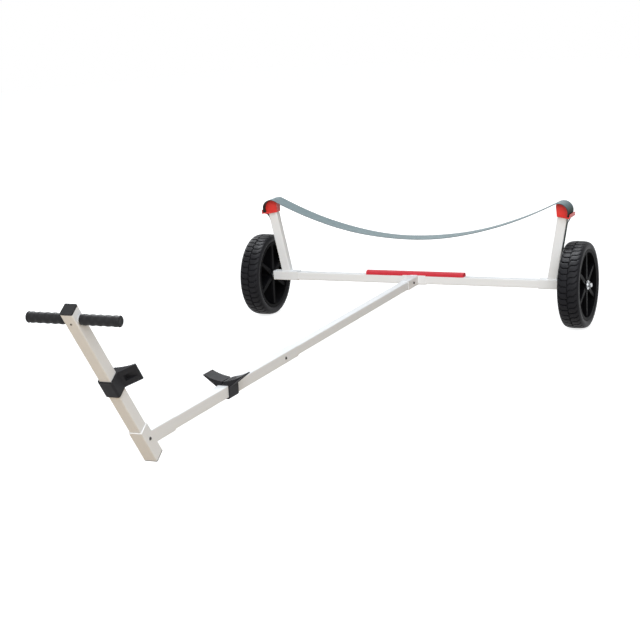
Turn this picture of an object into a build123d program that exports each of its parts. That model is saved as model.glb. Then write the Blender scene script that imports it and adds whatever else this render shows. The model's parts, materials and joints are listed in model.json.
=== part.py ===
# Dinghy launching trolley: two moulded wheels on stub axles, a square cross beam with two
# leaning uprights and a hull strap hung between them, a two-piece drawbar, and a raked
# handle post with a T-bar. Millimetres. X runs across, the handle end points to -Y, Z is up.
#
# The frame is drawn level, with its origin on the axle line, and then leans forward as a
# whole until the front edge of its foot stands on the floor.
import os
from math import asin, atan2, cos, degrees, hypot, pi, radians, sin, sqrt, tan

from build123d import *

os.makedirs("parts", exist_ok=True)

# ---- driving dimensions ----------------------------------------------------------------
# wheels
wheel_diameter = 400
tyre_width = 100
track = 1592                # between the middle planes of the two tyres
tyre_height = 44            # from the rim's bead seat to the crown
bead_width = 84             # of the tyre where it sits on the rim
tread_drop = 4              # of the tread's edge below its crown
shoulder_drop = 13
shoulder_inset = 7          # of the tread's edge from the tyre's side
side_bulge = 22             # widest place, above the bead seat
rim_lip = 8                 # height of the rim's lip over the bead seat
rim_lip_width = 4
rim_wall = 6
dish_draft = 2              # extra thickness at the middle of the barrel
spoke_count = 6
spoke_root = 24             # width of a spoke's two bars at the hub
spoke_tip = 15              # and at the barrel
spoke_bar = 12              # thickness of each bar along the axle
spoke_depth = 80            # over both bars
spoke_web = 6               # rib between the two bars
hub_radius = 27
hub_length = 84
axle_diameter = 20
axle_running_gap = 0.3      # radial, hub on axle
axle_end_play = 0.5         # each end of the hub
axle_collar = 32            # shoulder that keeps the hub off the end plate
axle_root = 40              # length of axle inside the beam
axle_tail = 18              # axle end beyond its washer
axle_chamfer = 2
washer_diameter = 42
washer_thickness = 3
pin_wire = 4
pin_past_washer = 5         # clear of the washer
pin_past_axle = 7           # each end
ring_wire = 3
ring_lean = 20              # degrees, of the pin's ring from upright

# square tubes, three sizes that slide into one another
small_tube = 38
tube_wall = 3
slide_gap = 0.25            # each side
tube_corner = 4

# cross beam and its fittings
sleeve_length = 132
end_plate = 6
wheel_space = 10            # between the end plate and the hub
tee_half = 58
tee_stub = 128              # forward reach of the T's socket from its sleeve

# uprights and saddles
upright_width = 44.5
upright_depth = 35
upright_wall = 2.5
upright_length = 296        # up to the saddle's lower edge
upright_lean = 10.65        # degrees, outwards
upright_inset = 68          # from the sleeve's outer end to the middle of the upright's foot
saddle_wall = 3
saddle_socket = 14          # how far the upright goes into the saddle
saddle_rise = 23            # from the saddle's lower edge to the middle of its round head
saddle_head = 42            # radius of the round head under the strap
head_inset = 12             # of the head's middle from the upright's line, inwards
head_reach = 24             # from the head's middle to the saddle's inner side
head_corner = 12            # height of that side
saddle_flare_start = 4      # where the inner side starts to spread
funnel_low = 8              # lower edge of the wall outside the strap
funnel_top = 26
funnel_room = 5             # between the strap and that wall
funnel_inset = 4            # of that wall's ends from the strap's edges
funnel_rim = 13             # top of the two walls that carry it, at their outer ends
strap_taper_start = 12      # where the strap starts to narrow, above the saddle's lower edge
strap_taper_end = -6
strap_turn = 6              # below that edge the strap turns in to the upright

# hull strap
strap_width = 100
strap_thickness = 3
strap_slope = 26.4          # degrees, where the strap leaves the saddle
strap_tape = 20             # width of the narrow tape that each end runs out to
strap_tail = 200            # below the saddle's lower edge
strap_tuck = 22             # below that edge the strap lies against the upright
soft_gap = 0.3

# drawbar
rear_drawbar_end = 1620
front_drawbar_start = 1392
joint_bolt_at = 1508
tee_bolt_at = 82
bolt_diameter = 6.5
post_at = 2578              # where the middle line of the post crosses the drawbar's
foot_stub_length = 173      # from there back to the end of the foot's stub
drawbar_end_gap = 2         # between the drawbar's cut end and the socket

# handle post
post_rake = 35.2            # degrees, forward
post_length = 638           # above the drawbar's middle line
socket_below = 92
socket_above = 55
plug_flange = 3
plug_depth = 14
cap_height = 5
bar_below_top = 41
bar_diameter = 25
bar_wall = 2
bar_length = 330
bar_hole_gap = 0.2
grip_wall = 5
grip_wave = 1.6             # depth of the finger hollows
grip_waves = 5
grip_lip = 2
grip_lip_length = 6
grip_gap = 4                # between the grip and the post

# V-shaped rest blocks
block_length = 72
block_wall = 5
block_floor = 6             # under the tube
block_span = 156
block_tip_height = 38       # above the tube's face
block_valley = 15           # above the tube's face
block_sag = 4               # hollow of each V face
block_tip = 4
collar_corner = 8
keel_slot = 8               # width of the slot at the bottom of the V
keel_slot_floor = 4         # above the tube's face
rib_count = 11              # on each V face
rib_start = 8               # along the face, from the keel slot
rib_end = 4                 # from the tip
rib_width = 3
rib_height = 1.4
pocket_length = 26
pocket_start = 36           # from the middle of the V
pocket_end = 70
pocket_roof = 4             # under the V face
post_block_at = 285
drawbar_block_at = 1966

# keel pad
pad_length = 495
pad_width = 38
pad_height = 20
pad_wall = 2.5

# ---- sizes that follow ------------------------------------------------------------------
wheel_radius = wheel_diameter / 2
axle_radius = axle_diameter / 2
mid_tube = small_tube + 2 * (tube_wall + slide_gap)
big_tube = mid_tube + 2 * (tube_wall + slide_gap)
hub_inner = track / 2 - hub_length / 2
hub_outer = track / 2 + hub_length / 2
sleeve_end = hub_inner - wheel_space
beam_half = sleeve_end - end_plate
upright_foot = sleeve_end - upright_inset
lean = radians(upright_lean)
rake = radians(post_rake)


def on_drawbar(distance):
    """Plane square to the drawbar at a distance from the axle; its normal points forward."""
    return Plane(origin=(0, -distance, 0), x_dir=(1, 0, 0), z_dir=(0, -1, 0))


def on_post(height):
    """Plane square to the raked post; x across, y backwards, normal up the post."""
    middle = (0, -(post_at + sin(rake) * height), cos(rake) * height)
    return Plane(origin=middle, x_dir=(1, 0, 0), z_dir=(0, -sin(rake), cos(rake)))


def on_upright(side, height):
    """Plane square to a leaning upright at a height above its foot; x points outwards."""
    out = upright_foot + sin(lean) * height
    up = mid_tube / 2 + cos(lean) * height
    return Plane(
        origin=(side * out, 0, up),
        x_dir=(side * cos(lean), 0, -sin(lean)),
        z_dir=(side * sin(lean), 0, cos(lean)),
    )


def on_head(side, angle, radius):
    """Point about the middle of a saddle's round head; the angle is from outwards, upwards."""
    out = cos(angle - lean) * radius
    up = sin(angle - lean) * radius
    return (side * (head_x + out), head_z + up)


def below_head(side, drop, inwards):
    """Middle of the strap, below the saddle's lower edge and nearer the upright by a distance."""
    out = strap_bend - inwards
    down = saddle_rise + drop
    return (
        side * (head_x + cos(lean) * out - sin(lean) * down),
        head_z - sin(lean) * out - cos(lean) * down,
    )


def tube_section(width, depth, wall):
    """Square or oblong tube section with round corners, in the open sketch."""
    inner_corner = max(tube_corner - wall, 0.5)
    RectangleRounded(width, depth, tube_corner)
    RectangleRounded(width - 2 * wall, depth - 2 * wall, inner_corner, mode=Mode.SUBTRACT)


level_pieces = {}
wheel_pieces = {}

# ---- cross beam -------------------------------------------------------------------------
with BuildPart() as cross_beam:
    with BuildSketch(Plane.YZ.offset(-beam_half)):
        tube_section(small_tube, small_tube, tube_wall)
    extrude(amount=2 * beam_half)
level_pieces["cross_beam"] = cross_beam.part

# ---- T piece: a sleeve on the beam with a socket for the drawbar ------------------------
with BuildPart() as tee_piece:
    with BuildSketch(Plane.YZ.offset(-tee_half)):
        tube_section(mid_tube, mid_tube, tube_wall)
    extrude(amount=2 * tee_half)
    with BuildSketch(on_drawbar(mid_tube / 2 - tube_wall)):
        tube_section(mid_tube, mid_tube, tube_wall)
    extrude(amount=tee_stub + tube_wall)
    with BuildSketch(Plane.YZ):
        with Locations((-tee_bolt_at, 0)):
            Circle(bolt_diameter / 2)
    extrude(amount=mid_tube, both=True, mode=Mode.SUBTRACT)
level_pieces["tee_piece"] = tee_piece.part

# ---- end fittings, one set each side ----------------------------------------------------
# the strap runs over the saddle's round head and down between it and the outer wall
head_up = upright_length + saddle_rise
head_x = upright_foot + sin(lean) * head_up - cos(lean) * head_inset
head_z = mid_tube / 2 + cos(lean) * head_up + sin(lean) * head_inset
head_out = saddle_head - head_inset
strap_bend = saddle_head + soft_gap + strap_thickness / 2
slope = radians(strap_slope)
channel_out = head_out + strap_thickness + 2 * soft_gap + funnel_room
collar_out = channel_out + saddle_wall
neck_half = upright_depth / 2 + saddle_wall
funnel_half = strap_width / 2 - funnel_inset
pin_x = hub_outer + axle_end_play + washer_thickness + pin_past_washer + pin_wire / 2
axle_end = hub_outer + axle_end_play + washer_thickness + axle_tail


for side, name in ((-1, "left"), (1, "right")):
    with BuildPart() as end_sleeve:
        with BuildSketch(Plane.YZ.offset(side * (sleeve_end - sleeve_length))):
            tube_section(mid_tube, mid_tube, tube_wall)
        extrude(amount=side * sleeve_length)
        with BuildSketch(Plane.YZ.offset(side * beam_half)):
            RectangleRounded(mid_tube, mid_tube, tube_corner)
            Circle(axle_radius, mode=Mode.SUBTRACT)
        extrude(amount=side * end_plate)
    level_pieces[f"{name}_end_sleeve"] = end_sleeve.part

    with BuildPart() as upright:
        with BuildSketch(on_upright(side, -mid_tube / 2)):
            tube_section(upright_width, upright_depth, upright_wall)
        extrude(amount=mid_tube / 2 + upright_length + saddle_socket)
        split(bisect_by=Plane.XY.offset(mid_tube / 2), keep=Keep.TOP)
    level_pieces[f"{name}_upright"] = upright.part

    # saddle: a socket under a round head, no deeper than its walls round the upright
    bottom = on_upright(side, upright_length)
    front = Plane(origin=bottom.origin, x_dir=bottom.x_dir, z_dir=(0, -side, 0))
    with BuildPart() as saddle:
        socket_half = upright_width / 2 + saddle_wall
        inner_side = -head_inset - head_reach
        head_corner_up = saddle_rise + sqrt(saddle_head**2 - head_reach**2)
        with BuildSketch(front):
            with BuildLine():
                Polyline(
                    (head_out, saddle_rise),
                    (head_out, 0),
                    (-socket_half, 0),
                    (-socket_half, saddle_flare_start),
                    (inner_side, head_corner_up - head_corner),
                    (inner_side, head_corner_up),
                )
                ThreePointArc(
                    (inner_side, head_corner_up),
                    (-head_inset, saddle_rise + saddle_head),
                    (head_out, saddle_rise),
                )
            make_face()
        extrude(amount=neck_half, both=True)

        # funnel: two low walls spread round the strap's edges and carry a wall outside it
        with BuildPart() as funnel:
            spread_half = strap_width / 2 + soft_gap + saddle_wall
            with BuildSketch(bottom):
                with BuildLine():
                    Polyline(
                        (-socket_half, -neck_half),
                        (head_out - saddle_wall, -spread_half),
                        (collar_out, -spread_half),
                        (collar_out, spread_half),
                        (head_out - saddle_wall, spread_half),
                        (-socket_half, neck_half),
                        close=True,
                    )
                make_face()
                offset(amount=-saddle_wall, kind=Kind.INTERSECTION, mode=Mode.SUBTRACT)
            extrude(amount=funnel_rim)
            with BuildSketch(front):
                with BuildLine():
                    Polyline(
                        (-socket_half, 0),
                        (channel_out, funnel_low),
                        (collar_out, funnel_low),
                        (collar_out, funnel_rim),
                        (channel_out, funnel_rim),
                        (-socket_half, saddle_flare_start),
                        close=True,
                    )
                make_face()
            extrude(amount=spread_half, both=True, mode=Mode.INTERSECT)
            with BuildSketch(front):
                with Locations(((channel_out + collar_out) / 2, (funnel_low + funnel_top) / 2)):
                    Rectangle(saddle_wall, funnel_top - funnel_low)
            extrude(amount=funnel_half, both=True)
        with BuildSketch(bottom):
            RectangleRounded(upright_width, upright_depth, tube_corner)
        extrude(amount=saddle_socket, mode=Mode.SUBTRACT)
    level_pieces[f"{name}_saddle"] = saddle.part

    with BuildPart() as stub_axle:
        with BuildSketch(Plane.YZ.offset(side * (beam_half - axle_root))):
            Circle(axle_radius)
        extrude(amount=side * (axle_end - beam_half + axle_root))
        with BuildSketch(Plane.YZ.offset(side * sleeve_end)):
            Circle(axle_collar / 2)
        extrude(amount=side * (wheel_space - axle_end_play))
        outer_face = stub_axle.faces().sort_by(Axis.X)[0 if side < 0 else -1]
        chamfer(outer_face.edges(), axle_chamfer)
        with BuildSketch(Plane.XY):
            with Locations((side * pin_x, 0)):
                Circle(pin_wire / 2)
        extrude(amount=axle_diameter, both=True, mode=Mode.SUBTRACT)
    level_pieces[f"{name}_stub_axle"] = stub_axle.part

    with BuildPart() as axle_washer:
        with BuildSketch(Plane.YZ.offset(side * (hub_outer + axle_end_play))):
            Circle(washer_diameter / 2)
            Circle(axle_radius, mode=Mode.SUBTRACT)
        extrude(amount=side * washer_thickness)
    level_pieces[f"{name}_axle_washer"] = axle_washer.part

    # the pin goes down through the axle, and its ring springs over the axle's end
    pin_half = axle_radius + pin_past_axle
    ring_radius = pin_half - pin_wire / 2
    with BuildPart() as axle_pin:
        with BuildSketch(Plane.XY.offset(-pin_half)):
            with Locations((side * pin_x, 0)):
                Circle(pin_wire / 2)
        extrude(amount=2 * pin_half)
        ring_turn = radians(ring_lean)
        ring_plane = Plane(
            origin=(side * pin_x, 0, 0),
            x_dir=(0, 0, 1),
            z_dir=(cos(ring_turn), side * sin(ring_turn), 0),
        )
        with BuildSketch(Plane(origin=ring_plane.origin, x_dir=(0, 0, 1), z_dir=ring_plane.y_dir)):
            with Locations((ring_radius, 0)):
                RegularPolygon(ring_wire / 2, 8)
        revolve(axis=Axis(ring_plane.origin, ring_plane.z_dir))
    level_pieces[f"{name}_axle_pin"] = axle_pin.part

# ---- hull strap: hangs in a parabola between the heads, goes over them and down inside ----
leave_angle = pi / 2 + slope + lean
leave_x, leave_z = on_head(1, leave_angle, strap_bend)
tail_in = head_out - upright_width / 2
with BuildPart() as hull_strap:
    with BuildSketch(Plane.XZ):
        with BuildLine():
            for side in (-1, 1):
                shoulder = on_head(side, 0, strap_bend)
                crest = on_head(side, leave_angle / 2, strap_bend)
                Polyline(
                    below_head(side, strap_tail, tail_in),
                    below_head(side, strap_tuck, tail_in),
                    below_head(side, strap_turn, 0),
                    shoulder,
                )
                ThreePointArc(shoulder, crest, (side * leave_x, leave_z))
            Bezier((-leave_x, leave_z), (0, leave_z - leave_x * tan(slope)), (leave_x, leave_z))
        trace(line_width=strap_thickness)
    extrude(amount=strap_width / 2, both=True)
    # each end tapers to the tape where it goes down the funnel
    for side in (-1, 1):
        bottom = on_upright(side, upright_length)
        with BuildSketch(Plane(origin=bottom.origin, x_dir=(0, side, 0), z_dir=bottom.x_dir)):
            for edge in (-1, 1):
                with BuildLine():
                    Polyline(
                        (edge * strap_tape / 2, -2 * strap_tail),
                        (edge * strap_tape / 2, strap_taper_end),
                        (edge * strap_width / 2, strap_taper_start),
                        (edge * strap_width, strap_taper_start),
                        (edge * strap_width, -2 * strap_tail),
                        (edge * strap_tape / 2, -2 * strap_tail),
                    )
                make_face()
        extrude(amount=collar_out, mode=Mode.SUBTRACT)
level_pieces["hull_strap"] = hull_strap.part

# ---- keel pad: a hollow D-shaped rubbing strip on the beam, notched over the T ----------
with BuildPart() as keel_pad:
    with BuildSketch(Plane.YZ.offset(-pad_length / 2)):
        with BuildLine():
            side_height = small_tube / 2 + pad_height / 2
            Polyline(
                (-pad_width / 2, side_height),
                (-pad_width / 2, small_tube / 2),
                (pad_width / 2, small_tube / 2),
                (pad_width / 2, side_height),
            )
            ThreePointArc(
                (pad_width / 2, side_height),
                (0, small_tube / 2 + pad_height),
                (-pad_width / 2, side_height),
            )
        make_face()
        offset(amount=-pad_wall, mode=Mode.SUBTRACT)
    extrude(amount=pad_length)
    notch = mid_tube / 2 + soft_gap
    with BuildSketch(Plane.XZ.offset(-pad_width / 2)):
        Rectangle(2 * (tee_half + soft_gap), 2 * notch)
    extrude(amount=pad_width, mode=Mode.SUBTRACT)
level_pieces["keel_pad"] = keel_pad.part

# ---- drawbar in two lengths -------------------------------------------------------------
rear_drawbar_start = mid_tube / 2 + slide_gap
with BuildPart() as rear_drawbar:
    with BuildSketch(on_drawbar(rear_drawbar_start)):
        tube_section(small_tube, small_tube, tube_wall)
    extrude(amount=rear_drawbar_end - rear_drawbar_start)
    with BuildSketch(Plane.YZ):
        with Locations((-tee_bolt_at, 0), (-joint_bolt_at, 0)):
            Circle(bolt_diameter / 2)
    extrude(amount=small_tube, both=True, mode=Mode.SUBTRACT)
level_pieces["rear_drawbar"] = rear_drawbar.part

# the front length stops where its lower face would reach the leaning socket
socket_back = big_tube / 2 / cos(rake) + tan(rake) * mid_tube / 2
front_drawbar_end = post_at - socket_back - drawbar_end_gap
with BuildPart() as front_drawbar:
    with BuildSketch(on_drawbar(front_drawbar_start)):
        tube_section(mid_tube, mid_tube, tube_wall)
    extrude(amount=front_drawbar_end - front_drawbar_start)
    with BuildSketch(Plane.YZ):
        with Locations((-joint_bolt_at, 0)):
            Circle(bolt_diameter / 2)
    extrude(amount=mid_tube, both=True, mode=Mode.SUBTRACT)
level_pieces["front_drawbar"] = front_drawbar.part

# ---- foot: a leaning socket for the post with a stub for the drawbar --------------------
with BuildPart() as foot_socket:
    with BuildSketch(on_drawbar(post_at - foot_stub_length)):
        tube_section(big_tube, big_tube, tube_wall)
    extrude(amount=foot_stub_length)
    with BuildSketch(on_post(-socket_below)):
        RectangleRounded(big_tube, big_tube, tube_corner)
    extrude(amount=socket_below + socket_above)
    with BuildSketch(on_post(-socket_below)):
        RectangleRounded(mid_tube + 2 * slide_gap, mid_tube + 2 * slide_gap, tube_corner)
    extrude(amount=socket_below + socket_above, mode=Mode.SUBTRACT)
    with BuildSketch(Plane.YZ):
        with Locations((-post_at, 0)):
            Circle(bolt_diameter / 2)
    extrude(amount=big_tube, both=True, mode=Mode.SUBTRACT)
level_pieces["foot_socket"] = foot_socket.part

plug_spigot = mid_tube - 2 * tube_wall - 2 * slide_gap
with BuildPart() as foot_plug:
    with BuildSketch(on_post(-socket_below - plug_flange)):
        RectangleRounded(big_tube, big_tube, tube_corner)
    extrude(amount=plug_flange)
    with BuildSketch(on_post(-socket_below)):
        RectangleRounded(plug_spigot, plug_spigot, tube_corner)
    extrude(amount=plug_depth)
level_pieces["foot_plug"] = foot_plug.part

# ---- handle post ------------------------------------------------------------------------
bar_at = post_length - bar_below_top
bar_middle = on_post(bar_at).origin
with BuildPart() as handle_post:
    with BuildSketch(on_post(-socket_below)):
        tube_section(mid_tube, mid_tube, tube_wall)
    extrude(amount=socket_below + post_length)
    with BuildSketch(Plane.YZ):
        with Locations((bar_middle.Y, bar_middle.Z)):
            Circle(bar_diameter / 2 + bar_hole_gap)
        with Locations((-post_at, 0)):
            Circle(bolt_diameter / 2)
    extrude(amount=mid_tube, both=True, mode=Mode.SUBTRACT)
level_pieces["handle_post"] = handle_post.part

with BuildPart() as post_cap:
    with BuildSketch(on_post(post_length)):
        RectangleRounded(mid_tube, mid_tube, tube_corner)
    extrude(amount=cap_height)
    with BuildSketch(on_post(post_length)):
        RectangleRounded(plug_spigot, plug_spigot, tube_corner)
    extrude(amount=-plug_depth)
level_pieces["post_cap"] = post_cap.part

with BuildPart() as handlebar:
    with BuildSketch(Plane.YZ.offset(-bar_length / 2)):
        with Locations((bar_middle.Y, bar_middle.Z)):
            Circle(bar_diameter / 2)
            Circle(bar_diameter / 2 - bar_wall, mode=Mode.SUBTRACT)
    extrude(amount=bar_length)
level_pieces["handlebar"] = handlebar.part

grip_start = mid_tube / 2 + grip_gap
grip_radius = bar_diameter / 2 + grip_wall
wave_length = (bar_length / 2 - grip_start - grip_lip_length) / grip_waves
for side, name in ((-1, "left"), (1, "right")):
    with BuildPart() as grip:
        grip_plane = Plane(origin=(0, bar_middle.Y, bar_middle.Z), x_dir=(side, 0, 0), z_dir=(0, 1, 0))
        with BuildSketch(grip_plane):
            with BuildLine():
                lip_start = bar_length / 2 - grip_lip_length
                Polyline(
                    (lip_start, grip_radius - grip_wave),
                    (lip_start, grip_radius + grip_lip),
                    (bar_length / 2, grip_radius + grip_lip),
                    (bar_length / 2, bar_diameter / 2),
                    (grip_start, bar_diameter / 2),
                    (grip_start, grip_radius - grip_wave),
                )
                for wave in range(grip_waves):
                    start = grip_start + wave * wave_length
                    Polyline(
                        (start, grip_radius - grip_wave),
                        (start + wave_length / 3, grip_radius),
                        (start + 2 * wave_length / 3, grip_radius),
                        (start + wave_length, grip_radius - grip_wave),
                    )
            make_face()
        revolve(axis=Axis((0, bar_middle.Y, bar_middle.Z), (1, 0, 0)))
    level_pieces[f"{name}_grip"] = grip.part

# ---- V blocks: one moulding, used on the post and on the drawbar ------------------------
# each V face is a hollow arc from the keel slot to the tip, with ribs along the block
tube_top = mid_tube / 2
collar = tube_top + block_wall
tip_x, tip_y = block_span / 2, tube_top + block_tip_height
valley_x, valley_y = keel_slot / 2, tube_top + block_valley
face_chord = hypot(tip_x - valley_x, tip_y - valley_y)
face_turn = atan2(tip_y - valley_y, tip_x - valley_x)
face_radius = (face_chord**2 / 4 + block_sag**2) / (2 * block_sag)
middle_x = (tip_x + valley_x) / 2
middle_y = (tip_y + valley_y) / 2
centre_x = middle_x - sin(face_turn) * (face_radius - block_sag)
centre_y = middle_y + cos(face_turn) * (face_radius - block_sag)
hollow_x = middle_x + sin(face_turn) * block_sag
hollow_y = middle_y - cos(face_turn) * block_sag


def on_face(along):
    """Point of the right V face at a distance along its chord from the keel slot."""
    angle = face_turn - pi / 2 + asin((along - face_chord / 2) / face_radius)
    return (centre_x + cos(angle) * face_radius, centre_y + sin(angle) * face_radius)


for name, place in (
    ("post_block", on_post(post_block_at - block_length / 2)),
    ("drawbar_block", on_drawbar(drawbar_block_at - block_length / 2)),
):
    with BuildPart() as rest_block:
        with BuildSketch(place):
            with BuildLine():
                slot_floor = (valley_x, tube_top + keel_slot_floor)
                Polyline((0, slot_floor[1]), slot_floor, (valley_x, valley_y))
                ThreePointArc((valley_x, valley_y), (hollow_x, hollow_y), (tip_x, tip_y))
                Polyline(
                    (tip_x, tip_y),
                    (tip_x, tip_y - block_tip),
                    (collar, tube_top - block_wall),
                    (collar, -tube_top - block_floor),
                    (0, -tube_top - block_floor),
                    (0, slot_floor[1]),
                )
            make_face()
            fillet(vertices().group_by(Axis.Y)[0].sort_by(Axis.X)[-1], collar_corner)
            rib_step = (face_chord - rib_start - rib_end) / (rib_count - 1)
            for rib in range(rib_count):
                with Locations(on_face(rib_start + rib * rib_step)):
                    Rectangle(rib_width, 2 * rib_height, rotation=degrees(face_turn))
            mirror(about=Plane.YZ)
            Rectangle(mid_tube + 2 * slide_gap, mid_tube + 2 * slide_gap, mode=Mode.SUBTRACT)
        extrude(amount=block_length)
        # a pocket under each wing, its roof along the V face
        with BuildSketch(place.offset(block_length / 2)):
            inner_roof = on_face((pocket_start - valley_x) / cos(face_turn))[1] - pocket_roof
            outer_roof = on_face((pocket_end - valley_x) / cos(face_turn))[1] - pocket_roof
            with BuildLine():
                Polyline(
                    (pocket_start, 0),
                    (pocket_end, 0),
                    (pocket_end, outer_roof),
                    (pocket_start, inner_roof),
                    (pocket_start, 0),
                )
            make_face()
            mirror(about=Plane.YZ)
        extrude(amount=pocket_length / 2, both=True, mode=Mode.SUBTRACT)
    level_pieces[name] = rest_block.part

# ---- wheels: a one-piece moulded rim with six I-section spokes, and a low block tyre -----
rim_half = bead_width / 2 + rim_lip_width
bead_radius = wheel_radius - tyre_height
dish_radius = bead_radius - rim_wall
for side, name in ((-1, "left"), (1, "right")):
    middle = Plane(origin=(side * track / 2, 0, 0), x_dir=(1, 0, 0), z_dir=(0, -1, 0))
    axle_line = Axis((side * track / 2, 0, 0), (1, 0, 0))
    with BuildPart() as tyre:
        with BuildSketch(middle):
            with BuildLine():
                bead = (bead_width / 2, bead_radius)
                lip = (bead_width / 2, bead_radius + rim_lip)
                bulge = (tyre_width / 2, bead_radius + side_bulge)
                tread_edge = (tyre_width / 2 - shoulder_inset, wheel_radius - tread_drop)
                shoulder = (tyre_width / 2 - shoulder_inset / 4, wheel_radius - shoulder_drop)
                crown = (tyre_width / 4, wheel_radius)
                Polyline((0, bead_radius), bead, lip, bulge, shoulder, tread_edge, crown)
                Line(crown, (0, wheel_radius))
                Line((0, wheel_radius), (0, bead_radius))
            make_face()
            mirror(about=Plane.YZ)
        revolve(axis=axle_line)
    wheel_pieces[f"{name}_tyre"] = tyre.part

    with BuildPart() as rim:
        with BuildSketch(middle):
            with BuildLine():
                Polyline(
                    (0, dish_radius - dish_draft),
                    (rim_half, dish_radius),
                    (rim_half, bead_radius + rim_lip),
                    (bead_width / 2, bead_radius + rim_lip),
                    (bead_width / 2, bead_radius),
                    (0, bead_radius),
                    (0, dish_radius - dish_draft),
                )
            make_face()
            mirror(about=Plane.YZ)
            with Locations((0, axle_radius + axle_running_gap)):
                Rectangle(
                    hub_length,
                    hub_radius - axle_radius - axle_running_gap,
                    align=(Align.CENTER, Align.MIN),
                )
        revolve(axis=axle_line)
        # a web through the whole depth carries one bar at each face
        spoke_start = hub_radius - rim_wall / 2
        spoke_end = dish_radius - dish_draft / 2
        web_middle = (spoke_start + spoke_end) / 2
        with BuildSketch(Plane.YZ.offset(side * track / 2 - spoke_depth / 2)):
            with PolarLocations(web_middle, spoke_count, start_angle=90):
                Rectangle(spoke_end - spoke_start, spoke_web)
        extrude(amount=spoke_depth)
        for bar in (-spoke_depth / 2, spoke_depth / 2 - spoke_bar):
            with BuildSketch(Plane.YZ.offset(side * track / 2 + bar)):
                with PolarLocations(0, spoke_count, start_angle=90):
                    Polygon(
                        (spoke_start, -spoke_root / 2),
                        (spoke_end, -spoke_tip / 2),
                        (spoke_end, spoke_tip / 2),
                        (spoke_start, spoke_root / 2),
                        align=None,
                    )
            extrude(amount=spoke_bar)
    wheel_pieces[f"{name}_rim"] = rim.part

# ---- stance: lean the frame until the foot's front edge is on the floor -----------------
foot_depth = socket_below + plug_flange
edge_ahead = post_at - sin(rake) * foot_depth + cos(rake) * big_tube / 2
edge_below = cos(rake) * foot_depth + sin(rake) * big_tube / 2
stance = asin(wheel_radius / hypot(edge_ahead, edge_below)) - atan2(edge_below, edge_ahead)

upright_on_floor = Location((0, 0, wheel_radius))
leaning_on_floor = Location((0, 0, wheel_radius), (degrees(stance), 0, 0))
placed = {label: leaning_on_floor * piece for label, piece in level_pieces.items()}
placed.update({label: upright_on_floor * piece for label, piece in wheel_pieces.items()})

# the origin is under the middle of the whole trolley
boxes = [piece.bounding_box() for piece in placed.values()]
front_end = min(box.min.Y for box in boxes)
back_end = max(box.max.Y for box in boxes)
middle_y = (front_end + back_end) / 2
print("lean of the frame", round(degrees(stance), 4), "degrees, axle at y", round(-middle_y, 3))
for label, piece in placed.items():
    centred = Location((0, -middle_y, 0)) * piece
    centred.label = label
    export_step(centred, f"parts/{label}.step")
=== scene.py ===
import json
import math

import bpy
import numpy as np
from mathutils import Matrix, Vector


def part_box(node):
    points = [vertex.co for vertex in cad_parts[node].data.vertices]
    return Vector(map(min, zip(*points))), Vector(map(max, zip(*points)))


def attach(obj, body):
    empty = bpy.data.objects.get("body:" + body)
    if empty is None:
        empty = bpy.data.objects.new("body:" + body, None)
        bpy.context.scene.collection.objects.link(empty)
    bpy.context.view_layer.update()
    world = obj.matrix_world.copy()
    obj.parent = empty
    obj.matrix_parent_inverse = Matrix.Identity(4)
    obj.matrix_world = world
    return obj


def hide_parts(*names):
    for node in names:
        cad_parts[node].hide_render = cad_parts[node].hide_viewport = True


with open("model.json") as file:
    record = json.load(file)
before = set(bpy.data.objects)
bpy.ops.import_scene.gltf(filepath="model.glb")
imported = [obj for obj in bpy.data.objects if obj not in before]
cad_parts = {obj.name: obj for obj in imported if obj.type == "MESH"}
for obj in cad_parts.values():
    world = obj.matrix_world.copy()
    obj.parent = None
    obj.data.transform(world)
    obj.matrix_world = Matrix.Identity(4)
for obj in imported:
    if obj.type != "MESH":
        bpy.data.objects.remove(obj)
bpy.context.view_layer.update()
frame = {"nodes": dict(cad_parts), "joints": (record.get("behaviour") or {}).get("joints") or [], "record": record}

nodes = frame["nodes"]


# ---- Tubes ---------------------------------------------------------------------------------
# Square aluminium tubes in three sizes that slide into one another: the cross beam, the T piece,
# the end sleeves with their leaning uprights, the two drawbar lengths, the foot socket and the
# handle post. All are powder coated white, which sets to a satin skin with faint orange peel.
class Wire:
    """A value that runs through a node tree; arithmetic on it adds Math nodes."""

    def __init__(self, owner, socket):
        self.owner, self.socket = owner, socket

    def math(self, operation, *values):
        settings = {"operation": operation}
        return self.owner.node("ShaderNodeMath", settings, dict(enumerate(values)))

    def __add__(self, other): return self.math("ADD", self, other)
    def __radd__(self, other): return self.math("ADD", other, self)
    def __sub__(self, other): return self.math("SUBTRACT", self, other)
    def __rsub__(self, other): return self.math("SUBTRACT", other, self)
    def __mul__(self, other): return self.math("MULTIPLY", self, other)
    def __rmul__(self, other): return self.math("MULTIPLY", other, self)
    def __truediv__(self, other): return self.math("DIVIDE", self, other)
    def __rtruediv__(self, other): return self.math("DIVIDE", other, self)
    def __pow__(self, other): return self.math("POWER", self, other)
    def __abs__(self): return self.math("ABSOLUTE", self)

    def wave(self): return self.math("SINE", self)
    def floor(self): return self.math("FLOOR", self)
    def least(self, other): return self.math("MINIMUM", self, other)
    def most(self, other): return self.math("MAXIMUM", self, other)
    def clamped(self): return self.least(1).most(0)


class Tree:
    """A node tree, with a method that adds a node and joins it to the others."""

    def __init__(self, tree):
        self.tree = tree

    def set(self, node, socket, value):
        target = node.inputs[socket]
        if isinstance(value, Wire):
            self.tree.links.new(value.socket, target)
        elif isinstance(value, tuple) and target.type == "RGBA":
            target.default_value = (*value, 1)
        else:
            target.default_value = value

    def node(self, kind, settings=None, inputs=None, output=0):
        made = self.tree.nodes.new(kind)
        for setting, value in (settings or {}).items():
            setattr(made, setting, value)
        for socket, value in (inputs or {}).items():
            self.set(made, socket, value)
        return Wire(self, made.outputs[output])


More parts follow.
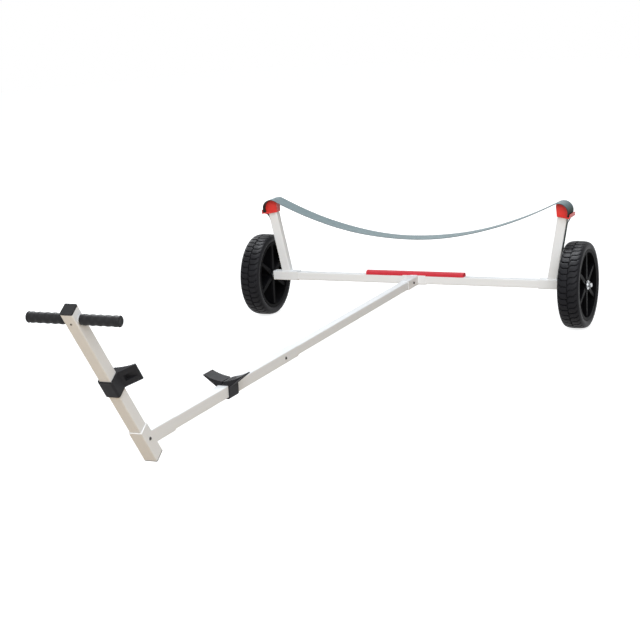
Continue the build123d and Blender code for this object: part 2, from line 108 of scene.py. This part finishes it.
class Paint(Tree):
    """One material: its Principled shader, and the patterns that feed it."""

    def __init__(self, name, **constants):
        self.material = bpy.data.materials.new(name)
        self.material.use_nodes = True
        super().__init__(self.material.node_tree)
        self.shader = self.tree.nodes["Principled BSDF"]
        for socket, value in constants.items():
            self.feed(socket.replace("_", " "), value)

    def feed(self, socket, value):
        self.set(self.shader, socket, value)

    def noise(self, size, detail, stretch=(1, 1, 1)):
        """Noise in metres: cells of the given size, drawn out along an axis by its stretch."""
        place = self.node("ShaderNodeTexCoord", output=3)
        scale = {"Vector": place, "Scale": tuple(1 / (size * s) for s in stretch)}
        mapped = self.node("ShaderNodeMapping", inputs=scale)
        inputs = {"Vector": mapped, "Scale": 1.0, "Detail": detail}
        return self.node("ShaderNodeTexNoise", inputs=inputs)

    def between(self, share, first, second):
        """A colour that goes from the first to the second as the share goes from 0 to 1."""
        inputs = {0: share, 6: first, 7: second}
        return self.node("ShaderNodeMix", {"data_type": "RGBA"}, inputs, output=2)

    def relief(self, height, depth):
        """Bumps the surface by a height of 0 to 1, times a depth in metres."""
        inputs = {"Height": height, "Distance": depth, "Strength": 1.0}
        self.feed("Normal", self.node("ShaderNodeBump", inputs=inputs))

    def give(self, *pieces):
        for piece in pieces:
            piece.data.materials.clear()
            piece.data.materials.append(self.material)


white_coat = Paint("white_powder_coat", Specular_IOR_Level=0.32, Coat_Weight=0.05,
                   Coat_Roughness=0.20)
thickness = white_coat.noise(0.22, 3)
speck = white_coat.noise(0.0035, 2)
thin_white, thick_white = (0.810, 0.818, 0.820), (0.860, 0.866, 0.868)
white_coat.feed("Base Color", white_coat.between(thickness, thin_white, thick_white))
white_coat.feed("Roughness", 0.40 + speck * 0.10 + thickness * 0.06)
white_coat.relief(white_coat.noise(0.0022, 1), 0.00006)
for tube in ("cross_beam", "tee_piece", "left_end_sleeve", "right_end_sleeve", "left_upright",
             "right_upright", "rear_drawbar", "front_drawbar", "foot_socket", "handle_post"):
    white_coat.give(nodes[tube])

# ---- Weld beads ----------------------------------------------------------------------------
# Each upright's foot and the T's drawbar socket are welded all round. The aluminium beads lie as
# overlapping ripples under the white coat; the foot socket's own joint is ground flush.
mounts = {mount["name"]: mount for mount in frame["record"]["mounts"]}
joint_at = {joint["name"]: Vector(joint["pos_m"]) for joint in frame["joints"]}
axle = (joint_at["left_wheel_spin"] + joint_at["right_wheel_spin"]) / 2
frame_up = Vector(mounts["hull_sling"]["axis"]).normalized()
frame_along = frame_up.cross(Vector((1, 0, 0))).normalized()
if frame_along.y > 0:
    frame_along = -frame_along
across, along, up = np.array((1.0, 0, 0)), np.array(frame_along), np.array(frame_up)


def on_frame(x, distance, height):
    """Points measured across, along the drawbar from the axle and up from it, as one array."""
    x, distance, height = np.broadcast_arrays(x, distance, height)
    return (np.array(axle) + x[..., None] * across
            + distance[..., None] * along + height[..., None] * up)


def skin(name, grid, paint, body, ring=True, loop=False, sharp=35):
    """Mesh over a grid of points: quads between neighbours, rows closed where they are rings,
    the last row joined to the first in a loop, and otherwise a flat face over each end ring.
    Turned outwards by the sign of the volume that it encloses."""
    rows, count = grid.shape[:2]
    points = grid.reshape(-1, 3)
    row = np.arange(rows if loop else rows - 1)
    place = np.arange(count if ring else count - 1)
    row, place = np.meshgrid(row, place, indexing="ij")
    after_row, after_place = (row + 1) % rows, (place + 1) % count
    quads = np.stack((row * count + place, row * count + after_place,
                      after_row * count + after_place, after_row * count + place), -1)
    quads = quads.reshape(-1, 4)
    a, b, c, d = (points[quads[:, i]] for i in range(4))
    inside = np.einsum("ij,ij->", a - points[0], np.cross(b - points[0], c - points[0]))
    inside += np.einsum("ij,ij->", a - points[0], np.cross(c - points[0], d - points[0]))
    faces = quads.tolist()
    if ring and not loop:
        faces += [list(range(count))[::-1], list(range((rows - 1) * count, rows * count))]
    if inside < 0:
        faces = [face[::-1] for face in faces]
    mesh = bpy.data.meshes.new(name)
    mesh.from_pydata(points, [], faces)
    mesh.shade_smooth()
    mesh.set_sharp_from_angle(angle=math.radians(sharp))
    piece = bpy.data.objects.new(name, mesh)
    bpy.context.collection.objects.link(piece)
    paint.give(piece)
    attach(piece, body)
    return piece


mid_half, lean, upright_foot = 0.02225, math.radians(10.65), 0.676
tube_corner, corner_power = 0.004, 2 / 7
weld_half, weld_half_depth, weld_radius = 0.0222, 0.0175, 0.0028
ripple, ripple_share, ripple_steps = 0.0032, 0.20, 6


def weld(name, centre, width_way, depth_way, half_width, half_depth):
    """A bead carried round a rounded rectangle. Its line is each half size times a cosine or a
    sine to the power of 2/7, sign kept. The radius of its round section swells with the absolute
    sine of the length gone, once every ripple, like a row of overlapping scales."""
    around = 4 * (half_width + half_depth - 2 * tube_corner) + 2 * math.pi * tube_corner
    ripples = round(around / ripple)
    turn = np.linspace(0, 1, ripples * ripple_steps, endpoint=False) * 2 * np.pi
    flat_x = half_width * np.sign(np.cos(turn)) * np.abs(np.cos(turn)) ** corner_power
    flat_y = half_depth * np.sign(np.sin(turn)) * np.abs(np.sin(turn)) ** corner_power
    line = np.array(centre) + flat_x[:, None] * width_way + flat_y[:, None] * depth_way
    ahead = np.roll(line, -1, 0) - np.roll(line, 1, 0)
    ahead /= np.linalg.norm(ahead, axis=1)[:, None]
    upright = np.cross(width_way, depth_way)
    outwards = np.cross(ahead, upright)
    lengths = np.cumsum(np.linalg.norm(np.roll(line, -1, 0) - line, axis=1))
    scales = np.abs(np.sin(np.pi * ripples * lengths / lengths[-1]))
    swell = weld_radius * (1 - ripple_share + ripple_share * scales)
    section = np.linspace(0, 2 * np.pi, 10, endpoint=False)
    grid = (line[:, None] + swell[:, None, None] * (
        np.cos(section)[None, :, None] * outwards[:, None]
        + np.sin(section)[None, :, None] * upright[None, None]))
    skin(name, grid, white_coat, "frame", loop=True, sharp=80)


for side, name in ((-1, "left"), (1, "right")):
    weld(f"{name}_foot_weld", on_frame(side * upright_foot, 0, mid_half), across, along,
         weld_half / math.cos(lean), weld_half_depth)
weld("tee_weld", on_frame(0, mid_half, 0), across, up, weld_half, weld_half)

# ---- Screws and nuts -----------------------------------------------------------------------
# M6 button-head screws hold the drawbar in the T, join its lengths and pin the post in the foot
# socket, and a small one holds the handlebar. Heads are black-plated steel with a hexagon socket;
# the nuts are self-locking and galvanised.
black_plate = Paint("black_plated_steel", Metallic=0.7, Coat_Weight=0.15)
plate_cloud = black_plate.noise(0.004, 3)
black_plate.feed("Base Color", black_plate.between(plate_cloud, (0.030, 0.028, 0.027),
                                                   (0.060, 0.056, 0.053)))
black_plate.feed("Roughness", 0.34 + plate_cloud * 0.16)
black_plate.relief(black_plate.noise(0.0006, 1), 0.00002)

steel = Paint("galvanised_steel", Metallic=1.0)
spangle = steel.noise(0.003, 4)
bloom = steel.noise(0.012, 2)
steel.feed("Base Color", steel.between(spangle, (0.50, 0.51, 0.52), (0.68, 0.69, 0.70)))
steel.feed("Roughness", 0.22 + bloom * 0.25)
steel.relief(spangle, 0.00003)

# Rows of height over the tube's face and radius, in millimetres, and 1 where it is six-sided.
button_head = ((0, 6.2, 0), (0.9, 6.2, 0), (1.1, 6.0, 0), (1.1, 5.25, 0), (1.8, 5.25, 0),
               (2.7, 5.0, 0), (3.5, 4.3, 0), (4.0, 3.5, 0), (4.3, 2.7, 0), (4.3, 2.0, 1),
               (2.2, 2.0, 1))
lock_nut = ((0, 6.2, 0), (0.9, 6.2, 0), (1.1, 6.0, 0), (1.1, 4.95, 1), (5.2, 4.95, 1),
            (5.6, 4.9, 0), (6.4, 4.6, 0), (7.0, 3.9, 0), (7.0, 3.0, 0), (7.9, 3.0, 0),
            (8.4, 2.5, 0))
small_head = ((0, 3.4, 0), (0.8, 3.4, 0), (1.6, 3.0, 0), (2.2, 2.2, 0), (2.5, 1.4, 0),
              (2.5, 1.1, 1), (1.5, 1.1, 1))


def turned(name, face, outwards, first, second, profile, paint):
    """A piece turned about the way outwards, through its profile's rows. In a six-sided row the
    radius is divided by the cosine of the turn from the middle of the nearest flat."""
    height, radius, six_sided = (column[:, None] for column in np.array(profile, float).T)
    turn = np.linspace(0, 2 * np.pi, 48, endpoint=False)
    hexagon = 1 / np.cos(np.mod(turn, np.pi / 3) - np.pi / 6)
    radius = radius * (1 + six_sided * (hexagon - 1)) / 1000
    stand = np.broadcast_to(height / 1000, radius.shape)
    grid = (np.array(face) + stand[..., None] * outwards
            + (radius * np.cos(turn))[..., None] * first
            + (radius * np.sin(turn))[..., None] * second)
    skin(name, grid, paint, "frame", sharp=28)


large_half, tee_screw, drawbar_screw, post_foot = 0.0255, 0.082, 1.508, 2.578
for name, distance, half in (("tee", tee_screw, mid_half), ("drawbar", drawbar_screw, mid_half),
                             ("foot", post_foot, large_half)):
    turned(f"{name}_screw_head", on_frame(half, distance, 0), across, along, up, button_head,
           black_plate)
    turned(f"{name}_lock_nut", on_frame(-half, distance, 0), -across, along, up, lock_nut,
           steel)

rake, bar_height = math.radians(35.2), 0.597
post_up = math.sin(rake) * along + math.cos(rake) * up
post_front = math.cos(rake) * along - math.sin(rake) * up
screw_place = on_frame(0, post_foot, 0) + bar_height * post_up + mid_half * post_front
turned("bar_screw_head", screw_place, post_front, across, post_up, small_head, black_plate)

# ---- Saddles -------------------------------------------------------------------------------
# Bright red moulded caps on the uprights' ends. The strap goes over their round heads and down
# behind an outer wall, into a funnel. Injection moulded, with the faint swirl of its flow.
red_plastic = Paint("red_moulded_plastic", Specular_IOR_Level=0.35)
swirl = red_plastic.noise(0.035, 3)
red_plastic.feed("Base Color", red_plastic.between(swirl, (0.70, 0.030, 0.024),
                                                   (0.82, 0.050, 0.040)))
red_plastic.feed("Roughness", 0.30 + red_plastic.noise(0.006, 2) * 0.14)
red_plastic.relief(red_plastic.noise(0.0011, 2), 0.00005)
red_plastic.give(nodes["left_saddle"], nodes["right_saddle"])

# ---- Hull strap ----------------------------------------------------------------------------
# A 100 mm polyester webbing, woven tight and coated dark green. Where it hangs it is coloured a
# lighter grey-blue, which is a painted sheen. Past the heads it is coloured a near-black green,
# which is painted shade. It goes over the heads and down each funnel, where it narrows to a tape
# on the upright.
strap_half, tape_half, cloth = 0.050, 0.010, 0.0024
head_up, head_inset, line_radius = 0.319, 0.012, 0.0438
saddle_edge, taper_top, taper_end = 0.023, 0.012, -0.006
turn_in, at_upright, tape_end, on_upright_side = 0.029, 0.045, 0.223, 0.0359
leave_slope, line_spacing, easings = math.radians(26.4), 0.0025, 6
head_x = upright_foot + math.sin(lean) * head_up - math.cos(lean) * head_inset
head_z = mid_half + math.cos(lean) * head_up + math.sin(lean) * head_inset


def smooth(share):
    """Goes from 0 to 1 with a level start and end: three squares less two cubes."""
    share = np.clip(share, 0, 1)
    return share * share * (3 - 2 * share)


def below_head(drop, outwards):
    """Place below the right head's middle, measured down and out along its leaning upright."""
    return (head_x + math.cos(lean) * outwards - math.sin(lean) * drop,
            head_z - math.sin(lean) * outwards - math.cos(lean) * drop)


def strap_line():
    """Points along the strap's middle line, evenly spaced from its lowest point to the right
    tape's end: a parabola, an arc over the head, then straight stretches eased into each other.
    Returns the points, the distance gone at each and where the parabola and the arc end."""
    leave = math.pi / 2 + leave_slope
    leave_x = head_x + math.cos(leave) * line_radius
    leave_z = head_z + math.sin(leave) * line_radius
    x = np.linspace(0, leave_x, 500)
    sag = leave_x * math.tan(leave_slope) / 2
    hung = np.stack((x, leave_z - sag * (1 - (x / leave_x) ** 2)), 1)
    arc = np.linspace(leave, -lean, 120)[1:]
    over = np.stack((head_x + np.cos(arc) * line_radius, head_z + np.sin(arc) * line_radius), 1)
    down = np.array([below_head(turn_in, line_radius), below_head(at_upright, on_upright_side),
                     below_head(tape_end, on_upright_side)])
    points = np.vstack((hung, over, down))
    gone = np.concatenate(([0], np.cumsum(np.linalg.norm(np.diff(points, axis=0), axis=1))))
    even = np.linspace(0, gone[-1], round(gone[-1] / line_spacing))
    line = np.stack([np.interp(even, gone, points[:, i]) for i in (0, 1)], 1)
    for _ in range(easings):
        line[1:-1] = (line[:-2] + 2 * line[1:-1] + line[2:]) / 4
    return line, even, gone[len(hung) - 1], gone[len(hung) + len(over) - 1]


line, gone, hung_length, over_length = strap_line()
strap_length = 2 * gone[-1]

webbing = Paint("strap_webbing", Specular_IOR_Level=0.25, Coat_Roughness=0.30)
pick, warp, selvedge_width, selvedge_edge = 0.0016, 0.0022, 0.0045, 400
# The painted sheen ends this far past the hanging stretch, over a soft edge. Beyond it the cloth carries painted
# shade.
painted_sheen_past_head, painted_sheen_edge = 0.036, 22
cloth_uv = {"Vector": webbing.node("ShaderNodeUVMap", {"uv_map": "cloth"})}
lengthwise = webbing.node("ShaderNodeSeparateXYZ", inputs=cloth_uv)
crosswise = webbing.node("ShaderNodeSeparateXYZ", inputs=cloth_uv, output=1)
warps = abs(((crosswise / warp + (lengthwise / pick).floor() * 0.5) * math.pi).wave())
picks = abs((lengthwise * (math.pi / pick)).wave())
weave = (warps * 0.65 + picks * 0.35) ** 0.7
fade = webbing.noise(0.16, 3)
fluff = webbing.noise(0.0012, 2)
selvedge = ((abs(crosswise) - (strap_half - selvedge_width)) * selvedge_edge).clamped()
# Share of painted shade: 0 along the hanging stretch, where a painted sheen lightens the cloth, and 1 past the
# heads, where the cloth is darkened as painted shade.
painted_shade_share = ((abs(lengthwise) - hung_length - painted_sheen_past_head) * painted_sheen_edge).clamped()
shade = (weave * 0.6 + fade * 0.5).clamped()
# The lighter grey-blue where the strap hangs is a painted sheen. The near-black green past the heads is painted
# shade. The coat thins out where the painted shade is.
painted_sheen_colour = webbing.between(shade, (0.075, 0.135, 0.148), (0.125, 0.198, 0.216))
painted_shade_colour = webbing.between(shade, (0.008, 0.018, 0.015), (0.020, 0.036, 0.031))
painted_light_colour = webbing.between(painted_shade_share, painted_sheen_colour, painted_shade_colour)
webbing.feed("Base Color", webbing.between(selvedge * 0.6, painted_light_colour, (0.014, 0.026, 0.024)))
webbing.feed("Roughness", 0.55 + fluff * 0.15)
webbing.feed("Coat Weight", 0.28 - painted_shade_share * 0.28)
webbing.relief(weave * (1 - selvedge * 0.4) + fluff * 0.25, 0.00025)

# The half width goes smoothly from the webbing's to the tape's in the funnel. The cloth lies off
# its middle line by two slow sine waves where it hangs, and by five cosine folds in the funnel.
sway, sway_run, sway_turn, sway_drift, sway_fade = 0.0012, 0.09, 1.7, 0.3, 0.12
fold, folds, fold_fade = 0.0010, 5, 0.03
run = np.concatenate((-gone[:0:-1], gone))
middle_line = np.vstack((line[:0:-1] * (-1, 1), line))
heading = np.gradient(middle_line, axis=0)
heading /= np.linalg.norm(heading, axis=1)[:, None]
outside = np.stack((-heading[:, 1], heading[:, 0]), 1)
above_edge = ((np.abs(middle_line[:, 0]) - head_x) * math.sin(lean)
              + (middle_line[:, 1] - head_z) * math.cos(lean) + saddle_edge)
past_head = np.abs(run) > over_length
taper = smooth(np.where(past_head, (above_edge - taper_end) / (taper_top - taper_end), 1))
half_width = tape_half + (strap_half - tape_half) * taper
side_way = np.linspace(-1, 1, 41)
hanging = np.clip((hung_length - np.abs(run)) / sway_fade, 0, 1)[:, None]
gathered = (np.clip((np.abs(run) - over_length + fold_fade) / fold_fade, 0, 1) * taper)[:, None]
swaying = np.sin(run / sway_run)[:, None] * np.sin(sway_turn * side_way + run[:, None] / sway_drift)
lift = sway * hanging * swaying + fold * gathered * np.cos(side_way * folds * np.pi)
strap_x, strap_z = (middle_line[:, None, i] + outside[:, None, i] * lift for i in (0, 1))
edge_place = half_width[:, None] * side_way
strap = skin("webbing_strap", on_frame(strap_x, -edge_place, strap_z), webbing, "frame",
             ring=False)
cloth_map = strap.data.uv_layers.new(name="cloth")
cloth_place = np.stack(np.broadcast_arrays(run[:, None], edge_place), -1).reshape(-1, 2)
corner_of = np.empty(len(strap.data.loops), int)
strap.data.loops.foreach_get("vertex_index", corner_of)
cloth_map.data.foreach_set("uv", cloth_place[corner_of].ravel())
cloth_wall = strap.modifiers.new("cloth", "SOLIDIFY")
cloth_wall.thickness, cloth_wall.offset = cloth, 0
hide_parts("hull_strap")
float(np.trapz(2 * half_width, run))

# ---- Keel pad ------------------------------------------------------------------------------
# A hollow D-shaped length of soft red PVC on the beam's top, for the keel to slide over. It is
# extruded, so its skin is smooth and satin, with faint drawn lines along it.
pad_red = Paint("red_pvc_pad", Specular_IOR_Level=0.15)
drawn = pad_red.noise(0.0016, 2, stretch=(120, 1, 1))
chalk = pad_red.noise(0.05, 3)
pad_red.feed("Base Color", pad_red.between(chalk, (0.60, 0.030, 0.046), (0.72, 0.055, 0.078)))
pad_red.feed("Roughness", 0.42 + drawn * 0.14)
pad_red.relief(drawn, 0.00008)
pad_red.give(nodes["keel_pad"])

# ---- V blocks ------------------------------------------------------------------------------
# Two like mouldings in charcoal rubber: a collar on a tube and two ribbed wings that hold the
# keel and the bow. The mould leaves a fine sand-blasted grain.
block_rubber = Paint("block_rubber", Specular_IOR_Level=0.15)
grain = block_rubber.noise(0.0009, 2)
scuff = block_rubber.noise(0.028, 4)
block_rubber.feed("Base Color", block_rubber.between(scuff, (0.009, 0.009, 0.010),
                                                     (0.018, 0.018, 0.021)))
block_rubber.feed("Roughness", 0.46 + scuff * 0.20)
block_rubber.relief(grain, 0.00010)
block_rubber.give(nodes["post_block"], nodes["drawbar_block"])

# ---- Post cap and foot plug ----------------------------------------------------------------
# Push-in polyethylene ends that close the post at its top and under its foot. Black, with the
# fine leather-like texture that such plugs are moulded with.
black_plastic = Paint("black_polyethylene", Specular_IOR_Level=0.12)
pebble = black_plastic.noise(0.0012, 2)
rubbed = black_plastic.noise(0.03, 3)
black_plastic.feed("Base Color", black_plastic.between(rubbed, (0.010, 0.010, 0.011),
                                                       (0.022, 0.022, 0.023)))
black_plastic.feed("Roughness", 0.36 + pebble * 0.16)
black_plastic.relief(pebble, 0.00010)
black_plastic.give(nodes["post_cap"], nodes["foot_plug"])

# ---- Handlebar and grips -------------------------------------------------------------------
# A white-coated steel tube through the post's top, with a moulded rubber grip pushed on each
# end. Each grip swells five times between its finger hollows, and has a rounded end with a ring.
white_coat.give(nodes["handlebar"])
grip_rubber = Paint("grip_rubber", Specular_IOR_Level=0.18)
handled = grip_rubber.noise(0.02, 3)
fine = grip_rubber.noise(0.0008, 2)
grip_rubber.feed("Base Color", grip_rubber.between(handled, (0.008, 0.008, 0.009),
                                                   (0.016, 0.016, 0.017)))
grip_rubber.feed("Roughness", 0.42 + handled * 0.20)
grip_rubber.relief(fine, 0.00012)

# The outline is turned about the bar. Along the grip its radius is the full one less the hollow
# times the squared cosine of five half turns; then a quarter circle, the end ring and the bore.
bar_middle = (np.array(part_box("handlebar")[0]) + np.array(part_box("handlebar")[1])) / 2
bar_radius, bar_end, grip_start, grip_end = 0.0125, 0.1652, 0.02625, 0.1675
grip_radius, finger_hollow, fingers, end_round = 0.0184, 0.0016, 5, 0.0035
start_step, ring_stand, ring_radii = 0.0008, 0.0004, (0.0105, 0.0098, 0.0092)
held = np.linspace(0, 1, 96)
wavy = grip_radius - finger_hollow * np.cos(fingers * np.pi * held) ** 2
wavy[-1] = grip_radius
rounding = np.linspace(0, np.pi / 2, 7)
held_start, held_end = grip_start + start_step, grip_end - end_round
places = np.concatenate((
    [grip_start], held_start + (held_end - held_start) * held,
    grip_end - end_round * (1 - np.sin(rounding)),
    [grip_end, grip_end + ring_stand, grip_end, grip_end],
    [bar_end, bar_end, grip_start]))
radii = np.concatenate((
    [grip_radius - finger_hollow - start_step], wavy,
    grip_radius - end_round * (1 - np.cos(rounding)),
    [*ring_radii, 0],
    [0, bar_radius, bar_radius]))
turn = np.linspace(0, 2 * np.pi, 64, endpoint=False)
for side, name in ((-1, "left"), (1, "right")):
    grid = np.stack(np.broadcast_arrays(
        bar_middle[0] + side * places[:, None],
        bar_middle[1] + radii[:, None] * np.cos(turn),
        bar_middle[2] + radii[:, None] * np.sin(turn)), -1)
    grip = skin(f"{name}_finger_grip", grid, grip_rubber, "frame", loop=True)
    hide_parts(f"{name}_grip")

# ---- Axles ---------------------------------------------------------------------------------
# Galvanised steel stubs fixed in the sleeves' end plates. A washer and a ring-clip pin through
# the axle's end hold each wheel on.
for name in ("left", "right"):
    steel.give(nodes[f"{name}_stub_axle"], nodes[f"{name}_axle_washer"], nodes[f"{name}_axle_pin"])

# ---- Wheels --------------------------------------------------------------------------------
# A one-piece black polypropylene rim with six I-section spokes carries a low rubber tyre. The
# tread is two rows of blocks, staggered, parted by hooked cross grooves and a wavy middle one.
rim_plastic = Paint("rim_polypropylene", Specular_IOR_Level=0.015)
flow = rim_plastic.noise(0.05, 3)
orange = rim_plastic.noise(0.0014, 1)
rim_plastic.feed("Base Color", rim_plastic.between(flow, (0.003, 0.003, 0.0035),
                                                   (0.007, 0.007, 0.008)))
rim_plastic.feed("Roughness", 0.34 + flow * 0.18)
rim_plastic.relief(orange, 0.00008)
rim_plastic.give(nodes["left_rim"], nodes["right_rim"])

tyre_rubber = Paint("tyre_rubber", Specular_IOR_Level=0.10)
dust = tyre_rubber.noise(0.045, 4)
skin_grain = tyre_rubber.noise(0.0010, 2)
tyre_rubber.feed("Base Color", tyre_rubber.between(dust, (0.007, 0.007, 0.0085),
                                                   (0.016, 0.016, 0.019)))
tyre_rubber.feed("Roughness", 0.36 + dust * 0.20)
tyre_rubber.relief(skin_grain, 0.00010)

# Half the tyre's section, from its middle out: above the widest line the powers of the shares of
# half width and of bulge height add up to one, first at set places over the tread and then at
# even turns round the shoulder. Below it a quarter ellipse goes down to the lip and the bead.
wheel_radius, tyre_half, tyre_height, bulge_up = 0.200, 0.050, 0.044, 0.022
bead_half, lip_up, bead_up, squareness, tread_half = 0.0418, 0.008, 0.0003, 3.2, 0.0435
bead_radius = wheel_radius - tyre_height
widest = bead_radius + bulge_up
tread_x = np.array((0, 1.4, 2.6, 3.6, 6, 9, 14, 20, 26, 32, 36, 39, 41, 42.5, 43.5)) / 1000
tread_r = widest + bulge_up * (1 - (tread_x / tyre_half) ** squareness) ** (1 / squareness)
corner_turn = np.linspace(math.acos((tread_half / tyre_half) ** (squareness / 2)), 0, 7)[1:]
shoulder_x = tyre_half * np.cos(corner_turn) ** (2 / squareness)
shoulder_r = widest + bulge_up * np.sin(corner_turn) ** (2 / squareness)
wall_turn = np.linspace(0, np.pi / 2, 8)[1:]
wall_x = bead_half + (tyre_half - bead_half) * np.cos(wall_turn)
wall_r = widest - (widest - bead_radius - lip_up) * np.sin(wall_turn)
half_x = np.concatenate((tread_x, shoulder_x, wall_x, [bead_half]))
half_r = np.concatenate((tread_r, shoulder_r, wall_r, [bead_radius + bead_up]))
profile_x = np.concatenate((-half_x[:0:-1], half_x))
profile_r = np.concatenate((half_r[:0:-1], half_r))
from_middle, on_tread = np.abs(profile_x), np.abs(profile_x) < tread_half

# The section goes round in steps that are close together at each groove. Widths round the tyre
# are shares of a pitch: half a groove, its wall, the rows' shift, the grooves' hook and kink.
pitches, groove_depth, middle_depth, crown = 44, 0.0072, 0.0058, 0.0004
groove_half, groove_wall, crown_run = 0.115, 0.045, 0.10
row_shift, hook, kink = 0.25, 0.46, 0.10
shift_run, hook_from, hook_run, hook_power, groove_end = 0.007, 0.027, 0.0165, 1.3, 0.003
middle_half, middle_wall, middle_sway, middle_band = 0.0026, 0.0012, 0.0017, 0.012
within = np.array((-0.070, 0, 0.070, 0.115, 0.14, 0.20, 0.30,
                   0.41, 0.52, 0.63, 0.74, 0.83, 0.86, 0.885))
turns = (np.arange(pitches)[:, None] + within).ravel() / pitches
in_pitch = np.tile(within, pitches)
from_groove = np.minimum(np.abs(in_pitch), np.abs(1 - in_pitch))[:, None]

# Each row's grooves are turned by the shift, by a kink near the middle and by a hook that grows
# smoothly to the edge. The depth is the deeper of the cross and the middle groove, each smooth
# from its floor to its lip, and the blocks are crowned between them.
cross_groove = (smooth((groove_half - from_groove) / groove_wall)
                * smooth((tread_half - from_middle) / groove_end))
middle_groove = smooth((middle_half - from_middle) / middle_wall)
crowned = crown * smooth((from_groove - groove_half) / crown_run) * on_tread
grooves = np.maximum(groove_depth * cross_groove, middle_depth * middle_groove)
radius = profile_r - (grooves - crowned + crown * on_tread)
hooked = (hook * smooth((from_middle - hook_from) / hook_run) ** hook_power
          - kink * (1 - smooth(from_middle / middle_band)))
for side, name in ((-1, "left"), (1, "right")):
    hub = joint_at[f"{name}_wheel_spin"]
    shifted = row_shift * np.sign(profile_x * side) * smooth(from_middle / shift_run)
    turn = 2 * np.pi * (turns[:, None] + (shifted + hooked) / pitches)
    swayed = middle_sway * np.cos(turn * pitches) * np.clip(1 - from_middle / middle_band, 0, 1)
    grid = np.stack((hub.x + profile_x + swayed, hub.y - radius * np.cos(turn),
                     hub.z + radius * np.sin(turn)), -1)
    tyre = skin(f"{name}_block_tyre", grid, tyre_rubber, f"wheel_{name}",
                loop=True, sharp=32)
    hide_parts(f"{name}_tyre")

# ---- Studio --------------------------------------------------------------------------------
# A pale floor under a bright even sky, a large soft key lamp in front and a small fill behind. A
# panel over the axle only shows in the sheen of dark rubber, and the floor throws a little warm
# light up. The camera stands at chest height, in front and to the right.
floor_side, floor_near, floor_far = 20, -20, 40
bounce_colour, floor_grey, floor_glow = (0.36, 0.24, 0.11), (0.5, 0.5, 0.5), 0.80
sky_colour, sky_strength, lamp_colour = (0.90, 0.95, 1.0), 0.44, (0.95, 0.975, 1.0)
floor_mesh = bpy.data.meshes.new("floor")
floor_mesh.from_pydata([(-floor_side, floor_near, 0), (floor_side, floor_near, 0),
                        (floor_side, floor_far, 0), (-floor_side, floor_far, 0)],
                       [], [(0, 1, 2, 3)])
floor = bpy.data.objects.new("floor", floor_mesh)
bpy.context.collection.objects.link(floor)


def background_rays(owner):
    """1 where a ray comes straight from the camera, off something glossy or through it."""
    straight, off_gloss, through = (owner.node("ShaderNodeLightPath", output=kind) for kind in (
        "Is Camera Ray", "Is Glossy Ray", "Is Transmission Ray"))
    return straight.most(off_gloss).most(through)


pale_floor = Paint("pale_floor")
bounce = pale_floor.node("ShaderNodeBsdfDiffuse", inputs={"Color": bounce_colour})
shaded = pale_floor.node("ShaderNodeBsdfDiffuse", inputs={"Color": floor_grey})
glow = pale_floor.node("ShaderNodeEmission", inputs={"Strength": floor_glow})
seen = pale_floor.node("ShaderNodeAddShader", inputs={0: shaded, 1: glow})
either = {0: background_rays(pale_floor), 1: bounce, 2: seen}
pale_floor.set(pale_floor.tree.nodes["Material Output"], "Surface",
               pale_floor.node("ShaderNodeMixShader", inputs=either))
pale_floor.give(floor)

world = bpy.data.worlds.new("studio")
world.use_nodes = True
bpy.context.scene.world = world
studio = Tree(world.node_tree)
sky = studio.tree.nodes["Background"]
studio.set(sky, "Color", sky_colour)
studio.set(sky, "Strength", sky_strength)
white = studio.node("ShaderNodeBackground", inputs={"Color": (1, 1, 1)})
either = {0: background_rays(studio), 1: Wire(studio, sky.outputs[0]), 2: white}
studio.set(studio.tree.nodes["World Output"], "Surface",
           studio.node("ShaderNodeMixShader", inputs=either))


def softbox(name, place, aim, size, power, diffuse=True):
    """Square lamp at a place, turned to face a point."""
    lamp = bpy.data.lights.new(name, "AREA")
    lamp.shape, lamp.size, lamp.energy, lamp.color = "SQUARE", size, power, lamp_colour
    holder = bpy.data.objects.new(name, lamp)
    holder.visible_diffuse = diffuse
    holder.location = place
    holder.rotation_euler = (Vector(aim) - Vector(place)).to_track_quat("-Z", "Y").to_euler()
    bpy.context.collection.objects.link(holder)


softbox("key", place=(3.0, -7.5, 5.3), aim=(0, -0.2, 0.3), size=8.0, power=940)
softbox("fill", place=(-5.6, 4.2, 2.4), aim=(0, 0, 0.3), size=4.5, power=300)
softbox("sheen", place=(-0.7, 2.2, 6.0), aim=(0, 1.4, 0.3), size=3.8, power=1100, diffuse=False)

lens = bpy.data.cameras.new("camera")
camera = bpy.data.objects.new("camera", lens)
bpy.context.collection.objects.link(camera)
bpy.context.scene.camera = camera
lens.sensor_width, lens.lens, lens.clip_end = 36, 88.1, 100
yaw, pitch, tilt = 0.4275, 0.1891, -0.039
camera_right, camera_front, camera_height = 2.645195, 6.927274, 1.435171
view_ahead = Vector((-math.sin(yaw) * math.cos(pitch), math.cos(yaw) * math.cos(pitch),
                     -math.sin(pitch)))
level = Vector((math.cos(yaw), math.sin(yaw), 0))
square_up = level.cross(view_ahead)
view_right = math.cos(tilt) * level + math.sin(tilt) * square_up
view_up = -math.sin(tilt) * level + math.cos(tilt) * square_up
facing = Matrix((view_right, view_up, -view_ahead)).transposed().to_4x4()
camera_place = Vector((axle.x + camera_right, axle.y - camera_front, camera_height))
camera.matrix_world = Matrix.Translation(camera_place) @ facing
bpy.context.scene.view_settings.view_transform = "Standard"
